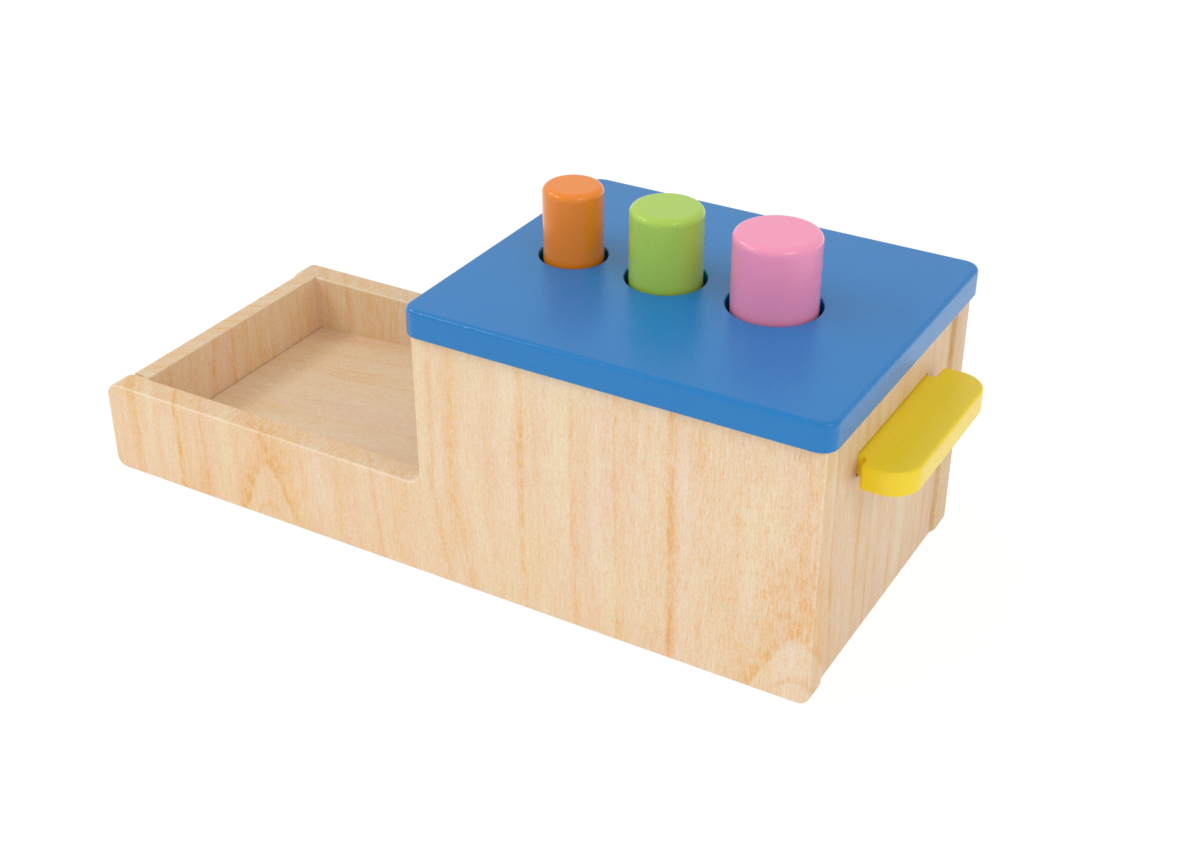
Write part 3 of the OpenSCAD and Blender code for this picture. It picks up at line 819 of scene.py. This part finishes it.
def one_dowel(tree, given):
    """Mesh of a dowel that stands on end, made from a plain cylinder."""
    radius = add(tree, "ShaderNodeMath", [given["Diameter"], 0.5], operation="MULTIPLY").outputs[0]
    half = add(tree, "ShaderNodeMath", [given["Length"], 0.5], operation="MULTIPLY").outputs[0]
    blank = add(
        tree,
        "GeometryNodeMeshCylinder",
        {
            "Vertices": FLUTES * STEPS_PER_FLUTE,
            "Side Segments": SIDE_RINGS,
            "Radius": radius,
            "Depth": given["Length"],
        },
    ).outputs["Mesh"]

    # The outer rings are the ends, and the inner ones move out to where the chamfer starts
    place = add(tree, "GeometryNodeInputPosition").outputs[0]
    x, y, z = add(tree, "ShaderNodeSeparateXYZ", [place]).outputs
    above = add(tree, "ShaderNodeMath", [z], operation="ABSOLUTE").outputs[0]
    limit = add(tree, "ShaderNodeMath", [half, NEAR_END], operation="MULTIPLY").outputs[0]
    at_end = add(tree, "ShaderNodeMath", [above, limit], operation="GREATER_THAN").outputs[0]
    inner = add(tree, "ShaderNodeMath", [1.0, at_end], operation="SUBTRACT").outputs[0]
    inset = add(tree, "ShaderNodeMath", [inner, given["Chamfer"]], operation="MULTIPLY").outputs[0]
    side = add(tree, "ShaderNodeMath", [z], operation="SIGN").outputs[0]
    reach = add(tree, "ShaderNodeMath", [half, inset], operation="SUBTRACT").outputs[0]
    new_z = add(tree, "ShaderNodeMath", [side, reach], operation="MULTIPLY").outputs[0]

    # A flute is one half of a wave round the dowel, and the other half is the crest
    angle = add(tree, "ShaderNodeMath", [y, x], operation="ARCTAN2").outputs[0]
    angle = add(tree, "ShaderNodeMath", [angle, FLUTES], operation="MULTIPLY").outputs[0]
    wave = add(tree, "ShaderNodeMath", [angle], operation="COSINE").outputs[0]
    wave = add(tree, "ShaderNodeMath", [wave, 0.0], operation="MAXIMUM").outputs[0]
    groove = add(tree, "ShaderNodeMath", [wave, given["Flute Depth"]], operation="MULTIPLY").outputs[0]
    bevel = add(tree, "ShaderNodeMath", [at_end, given["Chamfer"]], operation="MULTIPLY").outputs[0]
    taken = add(tree, "ShaderNodeMath", [groove, bevel], operation="ADD").outputs[0]
    taken = add(tree, "ShaderNodeMath", [taken, radius], operation="DIVIDE").outputs[0]
    shrink = add(tree, "ShaderNodeMath", [1.0, taken], operation="SUBTRACT").outputs[0]
    new_x = add(tree, "ShaderNodeMath", [x, shrink], operation="MULTIPLY").outputs[0]
    new_y = add(tree, "ShaderNodeMath", [y, shrink], operation="MULTIPLY").outputs[0]
    moved = add(tree, "ShaderNodeCombineXYZ", [new_x, new_y, new_z]).outputs[0]
    return add(tree, "GeometryNodeSetPosition", {"Geometry": blank, "Position": moved}).outputs[0]


print("a dowel has", FLUTES * STEPS_PER_FLUTE, "points round it, for", FLUTES, "flutes")

# %% A Geometry Nodes tree that sets dowels on points
def dowel_maker():
    tree = bpy.data.node_groups.new("fluted_dowels", "GeometryNodeTree")
    sockets = {
        "Places": "Geometry", "Length": "Float", "Diameter": "Float", "Flute Depth": "Float",
        "Chamfer": "Float", "Direction": "Vector", "Seed": "Int", "Wood": "Material",
    }
    for name, kind in sockets.items():
        tree.interface.new_socket(name, in_out="INPUT", socket_type="NodeSocket" + kind)
    tree.interface.new_socket("Dowels", in_out="OUTPUT", socket_type="NodeSocketGeometry")
    given = add(tree, "NodeGroupInput").outputs
    dowel = one_dowel(tree, given)

    # Each copy is turned about itself by chance, and then laid the way its hole runs
    lay = add(tree, "FunctionNodeEulerToRotation", [given["Direction"]]).outputs[0]
    copies = add(
        tree,
        "GeometryNodeInstanceOnPoints",
        {"Points": given["Places"], "Instance": dowel, "Rotation": lay},
    ).outputs[0]
    chance = add(tree, "FunctionNodeRandomValue", {2: 0.0, 3: math.tau, "Seed": given["Seed"]}).outputs[1]
    turn = add(tree, "ShaderNodeCombineXYZ", {2: chance}).outputs[0]
    turn = add(tree, "FunctionNodeEulerToRotation", [turn]).outputs[0]
    copies = add(tree, "GeometryNodeRotateInstances", {"Instances": copies, "Rotation": turn}).outputs[0]
    real = add(tree, "GeometryNodeRealizeInstances", [copies]).outputs[0]
    coloured = add(
        tree, "GeometryNodeSetMaterial", {"Geometry": real, "Material": given["Wood"]}
    ).outputs[0]
    add(tree, "NodeGroupOutput", {"Dowels": coloured})
    return tree


make_dowels = dowel_maker()
inputs = [item for item in make_dowels.interface.items_tree if item.in_out == "INPUT"]
print("inputs:", ", ".join(item.name for item in inputs))

# %% [markdown]
# ## Dowels in place of the rods
#
# Each set of dowels is one node of the CAD model. Its mesh falls apart into loose rods, and
# the box round each rod gives the middle, the length and the diameter. The new set stands
# for the node, and moves with the body that the walls belong to.

# %% Find the rods of a set
MERGE_DISTANCE = 0.001 * MM


def loose_boxes(mesh):
    """Lowest and highest corner of each loose piece of a mesh."""
    shape = bmesh.new()
    shape.from_mesh(mesh)
    bmesh.ops.remove_doubles(shape, verts=shape.verts, dist=MERGE_DISTANCE)
    waiting, boxes = set(shape.verts), []
    while waiting:
        stack, piece = [waiting.pop()], []
        while stack:
            vertex = stack.pop()
            piece.append(vertex.co.copy())
            near = {edge.other_vert(vertex) for edge in vertex.link_edges} & waiting
            waiting -= near
            stack += near
        boxes.append([Vector(side(co[axis] for co in piece) for axis in range(3)) for side in (min, max)])
    shape.free()
    return sorted(boxes, key=lambda box: tuple(box[0]))


dowel_sets = sorted(name for name in nodes if name.endswith("_dowels"))
print("sets of dowels:", ", ".join(dowel_sets))

# %% Replace each set of rods
FLUTE_DEPTH = 0.25 * MM
CHAMFER = 0.6 * MM
UPRIGHT_TURN, LYING_TURN = (0, 0, 0), (math.pi / 2, 0, 0)

for seed, name in enumerate(dowel_sets):
    boxes = loose_boxes(nodes[name].data)
    extent = boxes[0][1] - boxes[0][0]
    axis = max(range(3), key=lambda k: extent[k])
    places = bpy.data.meshes.new(name + "_places")
    places.from_pydata([(low + high) / 2 for low, high in boxes], [], [])
    dowels = bpy.data.objects.new(name + "_fluted", places)
    bpy.context.collection.objects.link(dowels)
    settings = {
        "Length": extent[axis],
        "Diameter": extent[0],
        "Flute Depth": FLUTE_DEPTH,
        "Chamfer": CHAMFER,
        "Direction": UPRIGHT_TURN if axis == STANDING else LYING_TURN,
        "Seed": seed,
        "Wood": dowel_wood[axis],
    }
    modifier = dowels.modifiers.new("fluted_dowels", "NODES")
    modifier.node_group = make_dowels
    for item in inputs:
        if item.name in settings:
            modifier[item.identifier] = settings[item.name]
    shaped = dowels.evaluated_get(bpy.context.evaluated_depsgraph_get())
    finished_mesh = bpy.data.meshes.new_from_object(shaped)
    dowels.modifiers.clear()
    dowels.data = finished_mesh
    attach(dowels, "root")
    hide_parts(name)
    print(name, "has", len(boxes), "dowels of", len(finished_mesh.polygons) // len(boxes), "faces each")

# %% [markdown]
# ## A finish for every node
#
# The CAD model's pieces come with plain colours. Each gets its own board or coat of paint,
# and what has neither is a dowel or a pin, and gets the beech.

# %% Give every node its finish
for name, node in nodes.items():
    beech = dowel_wood[STANDING if name == "lid_dowels" else LYING_Y]
    finish = wall_wood.get(name) or paint.get(name) or beech
    node.data.materials.clear()
    node.data.materials.append(finish)
    print(name, "is finished in", finish.name)
